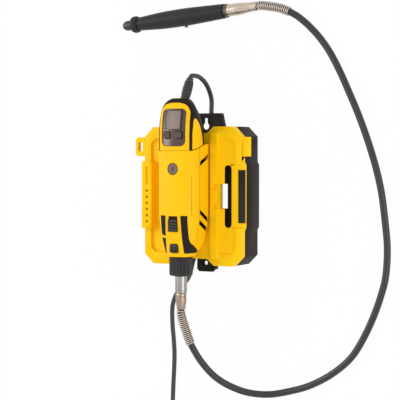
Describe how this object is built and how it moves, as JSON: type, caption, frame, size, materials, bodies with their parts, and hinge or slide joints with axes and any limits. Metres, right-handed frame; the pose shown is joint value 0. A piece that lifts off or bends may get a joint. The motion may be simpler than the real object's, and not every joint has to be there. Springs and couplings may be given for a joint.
{
  "type": "rotary tool with flexible shaft",
  "caption": "Mains rotary tool lying in its wall holder, with a flexible drive shaft leading to a slim handpiece and a coiled lead with plug.",
  "frame": {"origin": "on the back face of the holder's post, in line with the tool's axis, in the plane that the holder's back rim rests on", "axes": "+X across the holder to the grip bar, +Y up the holder and along the tool to its rear end, +Z out of the holder's front; on a wall +Y is up and -Z goes into the wall"},
  "size_m": [0.3584, 0.6191, 0.0966],
  "materials": {
    "yellow_plastic": "satin moulded plastic",
    "black_plastic": "fine-grained moulded plastic",
    "black_rubber": "soft black rubber",
    "steel": "turned steel",
    "polished_nickel": "warm nickel plate",
    "brass": "plain brass",
    "laminated_iron": "stacked laminations",
    "copper": "bare copper",
    "carbon": "dull carbon",
    "dark_window": "gloss",
    "screen": "grey-brown display",
    "circuit_board": "lacquered board"
  },
  "bodies": {
    "tool_and_holder": {"brush_cap_front": "black_plastic", "brush_cap_rear": "black_plastic", "brush_front": "carbon", "brush_holder_front": "brass", "brush_holder_rear": "brass", "brush_rear": "carbon", "coil_tie": "black_rubber", "control_board": "circuit_board", "crimp_sleeve": "polished_nickel", "display_frame": "yellow_plastic", "display_window": "dark_window", "drive_ferrule": "polished_nickel", "ferrule_ring": "polished_nickel", "flex_sheath": "black_rubber", "front_bearing": "steel", "front_housing": "yellow_plastic", "front_tray": "yellow_plastic", "grip_left": "black_rubber", "grip_right": "black_rubber", "handpiece_body": "black_rubber", "handpiece_flange": "black_plastic", "label_plate": "black_plastic", "lcd_panel": "screen", "lead_coil": "black_rubber", "lower_spring": "polished_nickel", "mains_lead": "black_rubber", "nose_collar": "steel", "plug_body": "black_rubber", "plug_pin_high": "brass", "plug_pin_low": "brass", "rear_bearing": "steel", "rear_cap": "black_plastic", "rear_housing": "yellow_plastic", "side_inlay_left": "yellow_plastic", "side_inlay_right": "yellow_plastic", "spindle_bearing_front": "steel", "spindle_bearing_rear": "steel", "stator": "laminated_iron", "strain_relief": "black_rubber", "switch_block": "black_plastic", "tray_screw_1": "steel", "tray_screw_2": "steel", "tray_screw_3": "steel", "tray_screw_4": "steel", "upper_ferrule": "polished_nickel", "upper_spring": "polished_nickel", "wall_shell": "black_plastic"},
    "rotor": {"motor_shaft": "steel", "armature_core": "laminated_iron", "commutator": "copper", "cooling_fan": "black_plastic", "drive_core": "steel"},
    "slide_switch": {"slide_switch": "black_rubber"},
    "lock_button": {"lock_button": "black_rubber"},
    "key_left": {"key_left": "black_rubber"},
    "key_right": {"key_right": "black_rubber"},
    "coupling_nut": {"coupling_nut": "black_rubber"},
    "spindle": {"handpiece_spindle": "steel", "collet_nut": "steel"},
    "lock_pin": {"lock_pin": "steel"}
  },
  "joints": [
    {"name": "motor_spin", "type": "hinge", "parent": "tool_and_holder", "child": "rotor", "pos_m": [0, 0, 0.074], "axis": [0, -1, 0], "continuous": true},
    {"name": "spindle_spin", "type": "hinge", "parent": "tool_and_holder", "child": "spindle", "pos_m": [0.027, 0.2295, 0.0113], "axis": [-0.9959, -0.0906, 0], "continuous": true},
    {"name": "coupling_nut_turn", "type": "hinge", "parent": "tool_and_holder", "child": "coupling_nut", "pos_m": [0, -0.0693, 0.074], "axis": [0, -1, 0], "continuous": true},
    {"name": "slide_switch_slide", "type": "slide", "parent": "tool_and_holder", "child": "slide_switch", "axis": [0, 1, 0], "range_m": [0, 0.004]},
    {"name": "lock_button_press", "type": "slide", "parent": "tool_and_holder", "child": "lock_button", "axis": [0, 0, -1], "range_m": [0, 0.0025], "stiffness_N_per_m": 400},
    {"name": "key_left_press", "type": "slide", "parent": "tool_and_holder", "child": "key_left", "axis": [0, 0, -1], "range_m": [0, 0.0008], "stiffness_N_per_m": 600},
    {"name": "key_right_press", "type": "slide", "parent": "tool_and_holder", "child": "key_right", "axis": [0, 0, -1], "range_m": [0, 0.0008], "stiffness_N_per_m": 600},
    {"name": "lock_pin_press", "type": "slide", "parent": "tool_and_holder", "child": "lock_pin", "axis": [-0.0906, 0.9959, 0], "range_m": [0, 0.0018], "stiffness_N_per_m": 400}
  ],
  "couplings": [
    {"joint": "spindle_spin", "follows": "motor_spin", "ratio": 1}
  ]
}
